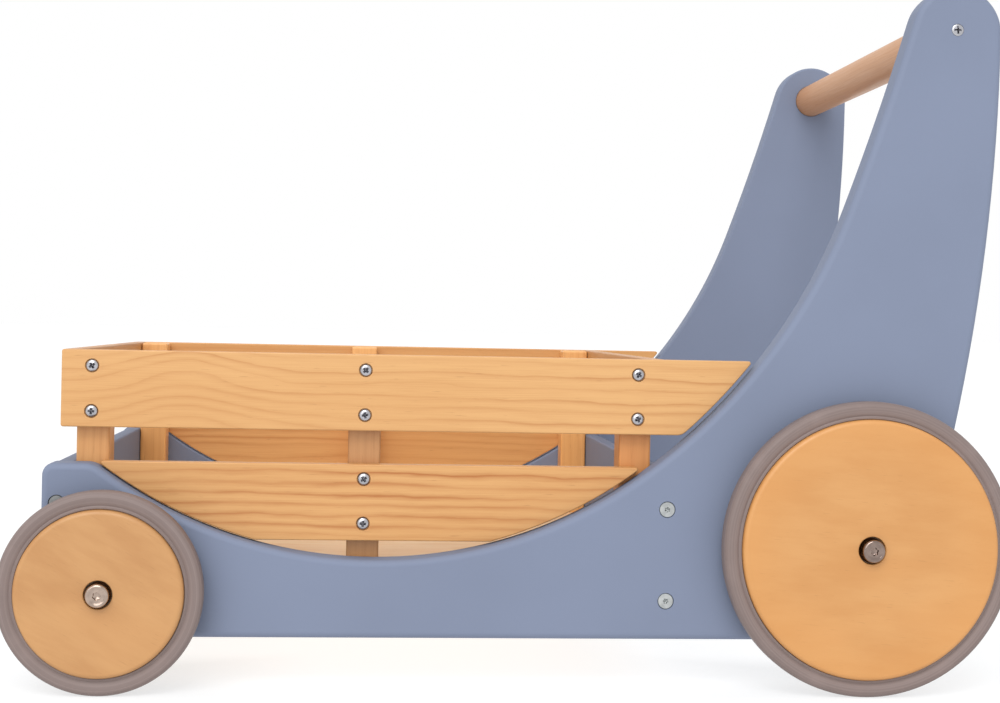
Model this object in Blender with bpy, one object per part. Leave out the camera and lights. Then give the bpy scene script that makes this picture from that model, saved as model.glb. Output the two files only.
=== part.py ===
"""Wooden baby push walker: two painted side panels carry a slatted crate, a handle bar and two axles.

Metres, +Z up. The walker rolls along X with its nose at -X, and a child pushes from +X.
Left is the pushing child's left, at -Y. The origin is on the floor, below the middle of the walker.
"""
import math

import bmesh
import bpy
from mathutils import Matrix, Vector

# Fits and curve quality
GAP = 0.0003                  # between pieces that touch
RUNNING_GAP = 0.0004          # radial play of a wheel on its axle
SAG = 0.0003                  # deepest flat on a curve
FINE = 32                     # flats round wheels, axles and the handle bar
MEDIUM = 20                   # flats round axle caps
COARSE = 12                   # flats round bolts and screws

# Wheels and axles
WHEELBASE = 0.4632
FRONT_TYRE_RADIUS = 0.0605
REAR_TYRE_RADIUS = 0.0904
TYRE_DEPTH = 0.0108           # rubber outside the disc
TYRE_WIDTH = 0.015
TYRE_SHOULDER = 0.0058
DISC_THICK = 0.018
DISC_EDGE = 0.003
HUB_RECESS_DEPTH = 0.0038     # in the disc's outer face, round the axle cap
HUB_RECESS_PLAY = 0.0008      # between that recess and the cap's flange
AXLE_RADIUS = 0.004
AXLE_CHAMFER = 0.0006
SPACER_RADIUS = 0.009
SPACER_LENGTH = 0.0054
CAP_RADIUS = 0.007
CAP_FLANGE = 0.0006
CAP_FLANGE_THICK = 0.0012
CAP_LENGTH = 0.0082
CAP_CROWN = 0.002
CAP_SOCKET_RADIUS = 0.0022
CAP_SOCKET_DEPTH = 0.0012
CAP_BORE_DEPTH = 0.0055

# Side panels, measured along X from the front axle
INSIDE_WIDTH = 0.300
PANEL_THICK = 0.018
PANEL_ROUND = 0.0016
PANEL_NOSE = 0.0388
PANEL_BOTTOM = 0.0306
NOSE_TOP = 0.1352
NOSE_CORNER = 0.011
NOSE_FILLET = 0.016
TOE_RADIUS = 0.020
HEEL_RADIUS = 0.045
BOAT_X = 0.1610               # lowest point of the dip
BOAT_LOW = 0.0782
BOAT_SLOPE = math.radians(36.0)     # where the dip's first arc ends
RISE_SLOPE = math.radians(69.7)     # where its second arc ends
FLANK_SLOPE = math.radians(73.7)    # where its third arc meets the handle lobe
RISE_OVER_BOAT = 1.285              # second radius over first
BACK_RADIUS = 1.3
LOBE_RADIUS = 0.0275

# Handle bar
HANDLE_BEHIND = 0.0563        # from the rear axle
HANDLE_Z = 0.4136
HANDLE_RADIUS = 0.0125
HANDLE_EDGE = 0.001
HANDLE_SOCKET = 0.008

# Crate, measured along X from the front axle
FRONT_POST_X = -0.0115
MIDDLE_POST_STEP = 0.1655
CRATE_LENGTH = 0.335
POST_SIZE = 0.020
POST_EDGE = 0.0012
POST_BELOW_RIM = 0.0006
SLAT_THICK = 0.008
SLAT_HEIGHT = 0.047
SLAT_SPACE = 0.0205
SLAT_EDGE = 0.001
SLAT_CORNER = 0.0014
SLAT_HEEL = 0.008
SLAT_CURVE_GAP = 0.0016
LOWER_SLAT_AHEAD = 0.0014     # the lower slats sit a little nearer the nose
RIM_Z = 0.2034
CROSS_THICK = 0.015
CROSS_EDGE = 0.0012
CROSS_ROUND_SHARE = 0.5       # outer top edge's radius, over the board's thickness
FLOOR_THICK = 0.006
FLOOR_GROOVE = 0.004
FLOOR_TONGUE = 0.003          # thickness of the floor's ends, in the grooves
FLOOR_OVER_AXLE = 0.002       # the floor lies just above the front axle

# Fasteners
BOLT_SPACING = 0.0565
BOLT_HEAD_RADIUS = 0.0048
BOLT_HEAD_THICK = 0.0014
BOLT_HEAD_CHAMFER = 0.0004
BOLT_SUNK = 0.0005            # from the panel's face down to the head
BOLT_RADIUS = 0.0025
BOLT_REACH = 0.030            # depth into the cross board
BOLT_SOCKET_RADIUS = 0.0016
BOLT_SOCKET_DEPTH = 0.0008
SCREW_HEAD_RADIUS = 0.0037
SCREW_HEAD_THICK = 0.0024
SCREW_RIM = 0.0003            # straight part of the countersunk head
SCREW_RADIUS = 0.002
SCREW_REACH = 0.025           # depth into the handle bar
SCREW_SOCKET_RADIUS = 0.0013
SCREW_SOCKET_DEPTH = 0.0012
SINK_GAP = 0.0004             # round a head that is sunk in a panel

# Places that follow from the sizes above
LENGTH = FRONT_TYRE_RADIUS + WHEELBASE + REAR_TYRE_RADIUS
FRONT_AXLE = (FRONT_TYRE_RADIUS - LENGTH / 2, FRONT_TYRE_RADIUS)
REAR_AXLE = (LENGTH / 2 - REAR_TYRE_RADIUS, REAR_TYRE_RADIUS)
HANDLE = (REAR_AXLE[0] + HANDLE_BEHIND, HANDLE_Z)
NOSE_X = FRONT_AXLE[0] - PANEL_NOSE
INNER_Y = INSIDE_WIDTH / 2
OUTER_Y = INNER_Y + PANEL_THICK
FRONT_POST = FRONT_AXLE[0] + FRONT_POST_X
MIDDLE_POST = FRONT_POST + MIDDLE_POST_STEP
REAR_POST = FRONT_POST + CRATE_LENGTH
CRATE_FRONT = FRONT_POST - POST_SIZE / 2 - GAP
CRATE_REAR = REAR_POST + POST_SIZE / 2 + GAP
FRONT_BOARD_X = CRATE_FRONT - CROSS_THICK / 2
REAR_BOARD_X = CRATE_REAR + CROSS_THICK / 2
BOARD_Z = (PANEL_BOTTOM + NOSE_TOP) / 2
BOLT_HEIGHTS = {"upper": BOARD_Z + BOLT_SPACING / 2, "lower": BOARD_Z - BOLT_SPACING / 2}
SIDES = {"left": -1, "right": 1}
AXLES = {"front": (FRONT_AXLE, FRONT_TYRE_RADIUS), "rear": (REAR_AXLE, REAR_TYRE_RADIUS)}
BOARDS = {"front": FRONT_BOARD_X, "rear": REAR_BOARD_X}
POSTS = {"front": FRONT_POST, "middle": MIDDLE_POST, "rear": REAR_POST}
SPACER_Y = OUTER_Y + GAP
DISC_Y = SPACER_Y + SPACER_LENGTH + GAP
CAP_Y = DISC_Y + DISC_THICK - HUB_RECESS_DEPTH + GAP
AXLE_END = CAP_Y + CAP_BORE_DEPTH - GAP
BOLT_SEAT = OUTER_Y - BOLT_SUNK - BOLT_HEAD_THICK
SCREW_TIP = INNER_Y + HANDLE_SOCKET - SCREW_REACH
FLOOR_LOW = FRONT_TYRE_RADIUS + AXLE_RADIUS + FLOOR_OVER_AXLE
FLOOR_TOP = FLOOR_LOW + FLOOR_THICK


def clear_scene():
    """Remove what is in the scene before building."""
    for item in list(bpy.data.objects):
        bpy.data.objects.remove(item, do_unlink=True)


def material(name, colour, roughness, metallic=0.0):
    """A Principled material of one colour."""
    result = bpy.data.materials.new(name)
    result.use_nodes = True
    shader = result.node_tree.nodes["Principled BSDF"]
    shader.inputs["Base Color"].default_value = (*colour, 1.0)
    shader.inputs["Roughness"].default_value = roughness
    shader.inputs["Metallic"].default_value = metallic
    return result


def place(name, body, finish, location=(0.0, 0.0, 0.0), side=1, parent=None):
    """Turn a bmesh into a named object. Side -1 turns it half round, to face the other way."""
    mesh = bpy.data.meshes.new(name)
    bmesh.ops.recalc_face_normals(body, faces=body.faces)
    body.to_mesh(mesh)
    body.free()
    mesh.shade_smooth()
    mesh.set_sharp_from_angle(angle=math.radians(30.0))
    item = bpy.data.objects.new(name, mesh)
    bpy.context.collection.objects.link(item)
    item.location = location
    item.rotation_euler = (0.0, 0.0, 0.0 if side > 0 else math.pi)
    item.parent = parent
    if finish:
        mesh.materials.append(finish)
    return item


def joint_empty(name, location):
    """An empty on a joint's axis."""
    item = bpy.data.objects.new(name, None)
    bpy.context.collection.objects.link(item)
    item.location = location
    return item


def lathe(profile, flats, ring=False, offset=(0.0, 0.0, 0.0)):
    """Spin a profile of (radius, y) points about Y. Radii are to the flats, and one flat faces down."""
    body = bmesh.new()
    to_corner = 1.0 / math.cos(math.pi / flats)
    first = Matrix.Rotation(math.pi / flats, 3, "Y")
    points = [body.verts.new(first @ Vector((radius * to_corner, y, 0.0))) for radius, y in profile]
    edges = [body.edges.new(pair) for pair in zip(points, points[1:])]
    if ring:
        edges.append(body.edges.new((points[-1], points[0])))
    bmesh.ops.spin(body, geom=points + edges, cent=(0.0, 0.0, 0.0), axis=(0.0, 1.0, 0.0),
                   angle=2.0 * math.pi, steps=flats, use_merge=True)
    bmesh.ops.remove_doubles(body, verts=body.verts, dist=1e-6)
    bmesh.ops.translate(body, verts=body.verts, vec=offset)
    return body


def plate(outline, low_y, high_y):
    """A flat plate with an outline of (x, z) points, standing between two Y planes."""
    body = bmesh.new()
    face = body.faces.new([body.verts.new((x, low_y, z)) for x, z in outline])
    grown = bmesh.ops.extrude_face_region(body, geom=[face])
    moved = [part for part in grown["geom"] if isinstance(part, bmesh.types.BMVert)]
    bmesh.ops.translate(body, verts=moved, vec=(0.0, high_y - low_y, 0.0))
    return body


def box(low, high):
    """A box between two corners."""
    outline = [(low[0], low[2]), (high[0], low[2]), (high[0], high[2]), (low[0], high[2])]
    return plate(outline, low[1], high[1])


def joined(bodies):
    """Several separate bodies in one bmesh."""
    result = bmesh.new()
    for body in bodies:
        mesh = bpy.data.meshes.new("part_of_a_cutter")
        bmesh.ops.recalc_face_normals(body, faces=body.faces)
        body.to_mesh(mesh)
        body.free()
        result.from_mesh(mesh)
        bpy.data.meshes.remove(mesh)
    return result


def round_edges(item, width, segments):
    """Ease the sharp edges of a piece."""
    bevel = item.modifiers.new("eased_edges", "BEVEL")
    bevel.width = width
    bevel.segments = segments
    bevel.limit_method = "ANGLE"
    bevel.angle_limit = math.radians(35.0)


def cut_from(item, bodies):
    """Cut bodies out of a piece."""
    cutter = place(item.name + "_cutter", joined(bodies), None)
    cutter.hide_render = True
    cutter.display_type = "WIRE"
    cut = item.modifiers.new("cuts", "BOOLEAN")
    cut.operation = "DIFFERENCE"
    cut.solver = "EXACT"
    cut.object = cutter


def arc(centre, radius, start, end):
    """Points along an arc from one angle to another, with flats no deeper than SAG."""
    step = 2.0 * math.acos(1.0 - SAG / radius)
    count = max(1, math.ceil(abs(end - start) / step))
    angles = [start + (end - start) * i / count for i in range(count + 1)]
    return [(centre[0] + radius * math.cos(a), centre[1] + radius * math.sin(a)) for a in angles]


def angle_to(start, end):
    """Direction from one (x, z) point to another."""
    return math.atan2(end[1] - start[1], end[0] - start[0])


def without_repeats(points):
    """The points of a closed outline, without those that repeat the one before."""
    return [p for i, p in enumerate(points) if math.dist(p, points[i - 1]) > 1e-6]


def rounded_corner(before, corner, after, radius):
    """An arc in place of a corner between two straight edges."""
    one = Vector(before) - Vector(corner)
    two = Vector(after) - Vector(corner)
    half = one.angle(two) / 2.0
    centre = Vector(corner) + (one.normalized() + two.normalized()).normalized() * radius / math.sin(half)
    reach = radius / math.tan(half)
    start = angle_to(centre, Vector(corner) + one.normalized() * reach)
    sweep = angle_to(centre, Vector(corner) + two.normalized() * reach) - start
    sweep = math.remainder(sweep, 2.0 * math.pi)
    return arc(centre, radius, start, start + sweep)


def turn(start, end):
    """What an arc of radius 1 covers in (x, z) as its slope goes from start to end."""
    return Vector((math.sin(end) - math.sin(start), math.cos(start) - math.cos(end)))


def dip_arcs():
    """The dip's arcs behind its lowest point, as (centre, radius, start slope, end slope).

    Their radii follow from the lowest point and the handle lobe, which the third arc runs into.
    """
    slopes = (0.0, BOAT_SLOPE, RISE_SLOPE, FLANK_SLOPE)
    turns = [turn(start, end) for start, end in zip(slopes, slopes[1:])]
    point = Vector((FRONT_AXLE[0] + BOAT_X, BOAT_LOW))
    way = Vector(HANDLE) + LOBE_RADIUS * Vector((-math.sin(FLANK_SLOPE), math.cos(FLANK_SLOPE))) - point
    first_two = turns[0] + RISE_OVER_BOAT * turns[1]
    boat_radius = way.cross(turns[2]) / first_two.cross(turns[2])
    flank_radius = first_two.cross(way) / first_two.cross(turns[2])
    arcs = []
    for radius, covered, start, end in zip((boat_radius, RISE_OVER_BOAT * boat_radius, flank_radius),
                                           turns, slopes, slopes[1:]):
        centre = (point[0] - radius * math.sin(start), point[1] + radius * math.cos(start))
        arcs.append((centre, radius, start, end))
        point = point + radius * covered
    return arcs


def scribed(low, high):
    """Points on the rising side of the dip, set in by SLAT_CURVE_GAP, between two heights."""
    points = []
    for centre, radius, start, end in dip_arcs():
        inner = radius - SLAT_CURVE_GAP
        first = max(start, math.acos(min(1.0, (centre[1] - low) / inner)))
        last = min(end, math.acos(min(1.0, (centre[1] - high) / inner)))
        if last > first:
            points += arc(centre, inner, first - math.pi / 2, last - math.pi / 2)
    return points


def panel_outline():
    """Nose, dip, handle lobe, back, heel and toe, as arcs that run into each other."""
    dip = dip_arcs()
    boat, boat_radius = dip[0][:2]
    back = (HANDLE[0] + LOBE_RADIUS - BACK_RADIUS, HANDLE[1])
    corner = (NOSE_X + NOSE_CORNER, NOSE_TOP - NOSE_CORNER)
    fillet_z = NOSE_TOP - NOSE_FILLET
    fillet_x = boat[0] - math.sqrt((boat_radius + NOSE_FILLET) ** 2 - (boat[1] - fillet_z) ** 2)
    fillet = (fillet_x, fillet_z)
    heel_z = PANEL_BOTTOM + HEEL_RADIUS
    heel_x = back[0] + math.sqrt((BACK_RADIUS - HEEL_RADIUS) ** 2 - (back[1] - heel_z) ** 2)
    heel = (heel_x, heel_z)
    toe = (NOSE_X + TOE_RADIUS, PANEL_BOTTOM + TOE_RADIUS)
    quarter = math.pi / 2
    points = arc(corner, NOSE_CORNER, math.pi, quarter)
    points += arc(fillet, NOSE_FILLET, quarter, angle_to(fillet, boat))
    points += arc(boat, boat_radius, angle_to(boat, fillet), -quarter)
    for centre, radius, start, end in dip:
        points += arc(centre, radius, start - quarter, end - quarter)
    points += arc(HANDLE, LOBE_RADIUS, FLANK_SLOPE + quarter, 0.0)
    points += arc(back, BACK_RADIUS, 0.0, angle_to(back, heel))
    points += arc(heel, HEEL_RADIUS, angle_to(back, heel), -quarter)
    points += arc(toe, TOE_RADIUS, -quarter, -math.pi)
    return without_repeats(points)


def upper_slat_outline():
    """Square at the nose, scribed to the panel's rise behind."""
    low = RIM_Z - SLAT_HEIGHT
    front = CRATE_FRONT - SLAT_THICK
    rear = scribed(low, RIM_Z)
    front_low = (front, low)
    front_high = (front, RIM_Z)
    points = rounded_corner(front_high, front_low, rear[0], SLAT_CORNER)
    points += rounded_corner(front_low, rear[0], rear[1], SLAT_HEEL)
    points += rear[1:]
    points += rounded_corner(rear[-1], front_high, front_low, SLAT_CORNER)
    return without_repeats(points)


def lower_slat_outline():
    """Scribed to the dip at both ends."""
    high = RIM_Z - SLAT_HEIGHT - SLAT_SPACE
    low = high - SLAT_HEIGHT
    boat, boat_radius = dip_arcs()[0][:2]
    inner = boat_radius - SLAT_CURVE_GAP
    steep = math.acos((boat[1] - high) / inner)
    shallow = math.acos(min(1.0, (boat[1] - low) / inner))
    points = arc(boat, inner, -math.pi / 2 - steep, -math.pi / 2 - shallow)
    points += scribed(low, high)
    return without_repeats([(x - LOWER_SLAT_AHEAD, z) for x, z in points])


def hole(x, z, start, end, radius, flats):
    """A round cutter along Y."""
    return lathe([(0.0, start), (radius, start), (radius, end), (0.0, end)], flats, offset=(x, 0.0, z))


def stepped_hole(x, z, side, steps, flats):
    """A cutter along Y that runs through a panel, as (radius, y) steps from its inner to its outer side."""
    start = INNER_Y - PANEL_THICK
    end = OUTER_Y + PANEL_THICK
    profile = [(0.0, start), (steps[0][0], start), *steps, (steps[-1][0], end), (0.0, end)]
    return lathe([(radius, side * y) for radius, y in profile], flats, offset=(x, 0.0, z))


def make_side_panel(name, side, finish):
    """A panel with axle holes, stepped bolt holes and a countersunk socket for the handle bar."""
    near, far = sorted((side * INNER_Y, side * OUTER_Y))
    item = place(name + "_side_panel", plate(panel_outline(), near, far), finish)
    round_edges(item, PANEL_ROUND, 2)
    start = near - PANEL_THICK
    end = far + PANEL_THICK
    cutters = [hole(*spot, start, end, AXLE_RADIUS + GAP, FINE) for spot, _ in AXLES.values()]
    bolt = BOLT_RADIUS + GAP
    steps = [(bolt, BOLT_SEAT - GAP), (BOLT_HEAD_RADIUS + SINK_GAP, BOLT_SEAT - GAP)]
    for x in BOARDS.values():
        for z in BOLT_HEIGHTS.values():
            cutters.append(stepped_hole(x, z, side, steps, COARSE))
    bar = HANDLE_RADIUS + GAP
    screw = SCREW_RADIUS + GAP
    floor = INNER_Y + HANDLE_SOCKET
    steps = [(bar, floor), (screw, floor), (screw, OUTER_Y - SCREW_HEAD_THICK - GAP),
             (SCREW_HEAD_RADIUS + SINK_GAP, OUTER_Y - SCREW_RIM - GAP)]
    cutters.append(stepped_hole(*HANDLE, side, steps, FINE))
    cut_from(item, cutters)


def make_handle_bar(finish):
    """A round bar with a screw hole in each end."""
    end = INNER_Y + HANDLE_SOCKET - GAP
    bottom = SCREW_TIP - GAP
    screw = SCREW_RADIUS + GAP
    half = [(0.0, bottom), (screw, bottom), (screw, end), (HANDLE_RADIUS - HANDLE_EDGE, end),
            (HANDLE_RADIUS, end - HANDLE_EDGE)]
    profile = half + [(radius, -y) for radius, y in reversed(half)]
    place("handle_bar", lathe(profile, FINE), finish, (HANDLE[0], 0.0, HANDLE[1]))


def bolt_body():
    """A flat-headed bolt along +Y, with the underside of its head at y = 0."""
    bottom = BOLT_HEAD_THICK - BOLT_SOCKET_DEPTH
    tip = INNER_Y - BOLT_REACH - BOLT_SEAT
    profile = [(0.0, bottom), (BOLT_SOCKET_RADIUS, bottom), (BOLT_SOCKET_RADIUS, BOLT_HEAD_THICK),
               (BOLT_HEAD_RADIUS - BOLT_HEAD_CHAMFER, BOLT_HEAD_THICK),
               (BOLT_HEAD_RADIUS, BOLT_HEAD_THICK - BOLT_HEAD_CHAMFER), (BOLT_HEAD_RADIUS, 0.0),
               (BOLT_RADIUS, 0.0), (BOLT_RADIUS, tip), (0.0, tip)]
    return lathe(profile, COARSE)


def screw_body():
    """A countersunk screw along +Y, with the face of its head at y = 0."""
    tip = SCREW_TIP - OUTER_Y
    profile = [(0.0, -SCREW_SOCKET_DEPTH), (SCREW_SOCKET_RADIUS, -SCREW_SOCKET_DEPTH),
               (SCREW_SOCKET_RADIUS, 0.0), (SCREW_HEAD_RADIUS, 0.0), (SCREW_HEAD_RADIUS, -SCREW_RIM),
               (SCREW_RADIUS, -SCREW_HEAD_THICK), (SCREW_RADIUS, tip), (0.0, tip)]
    return lathe(profile, COARSE)


def make_fasteners(finish_bolt, finish_screw):
    """Bolts through the panels into the cross boards, and a screw into each end of the handle bar."""
    for side_name, side in SIDES.items():
        for end_name, x in BOARDS.items():
            for level, z in BOLT_HEIGHTS.items():
                name = f"{end_name}_{side_name}_{level}_bolt"
                place(name, bolt_body(), finish_bolt, (x, side * BOLT_SEAT, z), side)
        spot = (HANDLE[0], side * OUTER_Y, HANDLE[1])
        place(side_name + "_handle_screw", screw_body(), finish_screw, spot, side)


def make_cross_board(name, x, finish):
    """A board between the panels, grooved for the floor, rounded outside, with bolt holes in its ends."""
    half = CROSS_THICK / 2 if name == "front" else -CROSS_THICK / 2
    mouth = x + half
    outer_high = (x - half, NOSE_TOP)
    outline = [(mouth, NOSE_TOP), (mouth, PANEL_BOTTOM), (x - half, PANEL_BOTTOM)]
    outline += rounded_corner(outline[-1], outer_high, outline[0], CROSS_THICK * CROSS_ROUND_SHARE)
    item = place(name + "_cross_board", plate(outline, GAP - INNER_Y, INNER_Y - GAP), finish)
    round_edges(item, CROSS_EDGE, 1)
    groove_low = (mouth - FLOOR_GROOVE, -INSIDE_WIDTH, FLOOR_LOW - GAP)
    groove_high = (mouth + FLOOR_GROOVE, INSIDE_WIDTH, FLOOR_LOW + FLOOR_TONGUE + GAP)
    cutters = [box(groove_low, groove_high)]
    for side in SIDES.values():
        for z in BOLT_HEIGHTS.values():
            bottom = side * (INNER_Y - GAP - BOLT_REACH)
            cutters.append(hole(x, z, bottom, side * OUTER_Y, BOLT_RADIUS + GAP, COARSE))
    cut_from(item, cutters)


def floor_body():
    """A board notched round the posts, with an end that reaches into each cross board's groove."""
    wide = INNER_Y - GAP
    narrow = INNER_Y - POST_SIZE - 2.0 * GAP
    notch = POST_SIZE / 2 + GAP
    reach = FLOOR_GROOVE - GAP
    edge = [(CRATE_FRONT - reach, narrow), (FRONT_POST + notch, narrow), (FRONT_POST + notch, wide),
            (MIDDLE_POST - notch, wide), (MIDDLE_POST - notch, narrow),
            (MIDDLE_POST + notch, narrow), (MIDDLE_POST + notch, wide),
            (REAR_POST - notch, wide), (REAR_POST - notch, narrow), (CRATE_REAR + reach, narrow)]
    outline = edge + [(x, -y) for x, y in reversed(edge)]
    body = plate(outline, FLOOR_LOW, FLOOR_TOP)
    lay_flat = Matrix(((1, 0, 0, 0), (0, 0, 1, 0), (0, 1, 0, 0), (0, 0, 0, 1)))
    bmesh.ops.transform(body, matrix=lay_flat, verts=body.verts)
    return body


def make_crate(finish_pine, finish_floor):
    """Posts, side slats, end slats and floor."""
    for side_name, side in SIDES.items():
        inner, outer = sorted((side * INNER_Y, side * (INNER_Y + SLAT_THICK)))
        for level, outline in (("upper", upper_slat_outline()), ("lower", lower_slat_outline())):
            slat = place(f"{side_name}_{level}_slat", plate(outline, inner, outer), finish_pine)
            round_edges(slat, SLAT_EDGE, 1)
        low_y, high_y = sorted((side * (INNER_Y - GAP - POST_SIZE), side * (INNER_Y - GAP)))
        for spot, x in POSTS.items():
            low = (x - POST_SIZE / 2, low_y, FLOOR_LOW)
            high = (x + POST_SIZE / 2, high_y, RIM_Z - POST_BELOW_RIM)
            post = place(f"{side_name}_{spot}_post", box(low, high), finish_pine)
            round_edges(post, POST_EDGE, 1)
    for name, x in (("front", CRATE_FRONT - SLAT_THICK), ("rear", CRATE_REAR)):
        low = (x, GAP - INNER_Y, RIM_Z - SLAT_HEIGHT)
        high = (x + SLAT_THICK, INNER_Y - GAP, RIM_Z)
        slat = place(name + "_end_slat", box(low, high), finish_pine)
        round_edges(slat, SLAT_EDGE, 1)
    floor = place("floor_board", floor_body(), finish_floor)
    rebates = []
    ends = ((CRATE_FRONT + GAP, CRATE_FRONT - CROSS_THICK), (CRATE_REAR - GAP, CRATE_REAR + CROSS_THICK))
    for inside, outside in ends:
        low_x, high_x = sorted((inside, outside))
        low = (low_x, -INSIDE_WIDTH, FLOOR_LOW + FLOOR_TONGUE)
        rebates.append(box(low, (high_x, INSIDE_WIDTH, FLOOR_TOP + FLOOR_THICK)))
    cut_from(floor, rebates)


def disc_body(radius):
    """A wooden disc with a bore, a recess for its cap and rounded rims, from its inner face at y = 0."""
    bore = AXLE_RADIUS + RUNNING_GAP
    recess = CAP_RADIUS + CAP_FLANGE + HUB_RECESS_PLAY
    floor = DISC_THICK - HUB_RECESS_DEPTH
    rim = arc((radius - DISC_EDGE, DISC_EDGE), DISC_EDGE, -math.pi / 2, 0.0)
    rim += arc((radius - DISC_EDGE, DISC_THICK - DISC_EDGE), DISC_EDGE, 0.0, math.pi / 2)
    profile = [(bore, 0.0), *rim, (recess, DISC_THICK), (recess, floor), (bore, floor)]
    return lathe(profile, FINE, ring=True)


def tyre_body(radius):
    """A rubber ring with rounded shoulders, centred on the disc's thickness."""
    middle = DISC_THICK / 2
    low = middle - TYRE_WIDTH / 2
    high = middle + TYRE_WIDTH / 2
    shoulder = radius - TYRE_SHOULDER
    tread = arc((shoulder, low + TYRE_SHOULDER), TYRE_SHOULDER, -math.pi / 2, 0.0)
    tread += arc((shoulder, high - TYRE_SHOULDER), TYRE_SHOULDER, 0.0, math.pi / 2)
    inside = radius - TYRE_DEPTH + GAP
    return lathe([(inside, low), *tread, (inside, high)], FINE, ring=True)


def cap_body():
    """A domed axle cap with a socket in its face and a blind bore for the axle."""
    bore = AXLE_RADIUS + GAP
    side_top = CAP_LENGTH - CAP_CROWN
    crown = arc((CAP_RADIUS - CAP_CROWN, side_top), CAP_CROWN, 0.0, math.pi / 2)
    profile = [(0.0, CAP_BORE_DEPTH), (bore, CAP_BORE_DEPTH), (bore, 0.0), (CAP_RADIUS + CAP_FLANGE, 0.0),
               (CAP_RADIUS + CAP_FLANGE, CAP_FLANGE_THICK), (CAP_RADIUS, CAP_FLANGE_THICK), *crown,
               (CAP_SOCKET_RADIUS, CAP_LENGTH), (CAP_SOCKET_RADIUS, CAP_LENGTH - CAP_SOCKET_DEPTH),
               (0.0, CAP_LENGTH - CAP_SOCKET_DEPTH)]
    return lathe(profile, MEDIUM)


def spacer_body():
    """A plain ring between panel and wheel."""
    bore = AXLE_RADIUS + GAP
    profile = [(bore, 0.0), (SPACER_RADIUS, 0.0), (SPACER_RADIUS, SPACER_LENGTH), (bore, SPACER_LENGTH)]
    return lathe(profile, MEDIUM, ring=True)


def make_axles(finish_axle, finish_cap, finish_spacer, finish_disc, finish_tyre):
    """Two fixed axles, each with a wheel, spacer and cap at both ends. Discs and tyres turn."""
    chamfer = AXLE_RADIUS - AXLE_CHAMFER
    half = [(0.0, AXLE_END), (chamfer, AXLE_END), (AXLE_RADIUS, AXLE_END - AXLE_CHAMFER)]
    rod = half + [(radius, -y) for radius, y in reversed(half)]
    for end_name, ((x, z), radius) in AXLES.items():
        place(end_name + "_axle", lathe(rod, FINE), finish_axle, (x, 0.0, z))
        for side_name, side in SIDES.items():
            name = f"{end_name}_{side_name}"
            place(name + "_spacer", spacer_body(), finish_spacer, (x, side * SPACER_Y, z), side)
            hub = joint_empty(name + "_hub", (x, side * DISC_Y, z))
            disc = disc_body(radius - TYRE_DEPTH)
            place(name + "_wheel_disc", disc, finish_disc, side=side, parent=hub)
            place(name + "_tyre", tyre_body(radius), finish_tyre, side=side, parent=hub)
            place(name + "_axle_cap", cap_body(), finish_cap, (x, side * CAP_Y, z), side)


def main():
    """Build the walker."""
    clear_scene()
    blue_paint = material("blue_paint", (0.254, 0.296, 0.413), 0.45)
    pine = material("pine", (0.80, 0.44, 0.19), 0.5)
    beech = material("beech", (0.58, 0.31, 0.17), 0.5)
    plywood = material("plywood", (0.83, 0.58, 0.35), 0.55)
    wheel_wood = material("wheel_wood", (0.75, 0.41, 0.16), 0.45)
    rubber = material("rubber", (0.30, 0.235, 0.227), 0.7)
    nickel = material("nickel", (0.66, 0.63, 0.60), 0.25, 1.0)
    zinc = material("zinc", (0.70, 0.72, 0.74), 0.4, 1.0)
    steel = material("steel", (0.55, 0.56, 0.58), 0.35, 1.0)
    nylon = material("nylon", (0.75, 0.75, 0.73), 0.5)
    for name, side in SIDES.items():
        make_side_panel(name, side, blue_paint)
    for name, x in BOARDS.items():
        make_cross_board(name, x, blue_paint)
    make_handle_bar(beech)
    make_fasteners(zinc, steel)
    make_crate(pine, plywood)
    make_axles(steel, nickel, nylon, wheel_wood, rubber)


main()
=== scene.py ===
"""Looks of the wooden push walker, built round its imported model.

Metres, +Z up. The walker's nose is at -X, its handle at +X, and its left side, at -Y, faces the camera.
"""

import math

import bmesh
import bpy
from mathutils import Matrix, Vector


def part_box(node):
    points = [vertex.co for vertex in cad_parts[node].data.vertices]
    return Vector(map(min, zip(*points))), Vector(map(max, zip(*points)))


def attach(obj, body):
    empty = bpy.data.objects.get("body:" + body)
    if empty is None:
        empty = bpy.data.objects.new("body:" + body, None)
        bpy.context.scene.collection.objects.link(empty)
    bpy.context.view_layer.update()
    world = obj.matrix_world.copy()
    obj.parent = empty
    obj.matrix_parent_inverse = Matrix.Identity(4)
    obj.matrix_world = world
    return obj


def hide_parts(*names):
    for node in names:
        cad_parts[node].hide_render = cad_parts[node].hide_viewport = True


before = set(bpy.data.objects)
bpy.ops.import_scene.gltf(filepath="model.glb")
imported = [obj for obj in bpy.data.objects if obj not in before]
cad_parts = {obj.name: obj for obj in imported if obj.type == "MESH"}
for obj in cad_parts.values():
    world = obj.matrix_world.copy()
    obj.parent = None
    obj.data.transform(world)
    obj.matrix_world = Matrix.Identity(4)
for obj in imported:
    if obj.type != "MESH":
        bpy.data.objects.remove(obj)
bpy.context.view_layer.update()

# Curve quality
SAG = 0.00003                 # deepest flat on an outline's curve
ROUND = 128                   # steps round wheels and the handle bar
SMALL_ROUND = 48              # steps round caps, bolts and screws
RING_ANGLES = [2.0 * math.pi * i / SMALL_ROUND for i in range(SMALL_ROUND)]
GAP = 0.0003                  # between pieces that touch
SHARP_ANGLE = math.radians(32.0)
BEVEL_ANGLE = math.radians(35.0)
QUARTER = math.pi / 2

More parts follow.
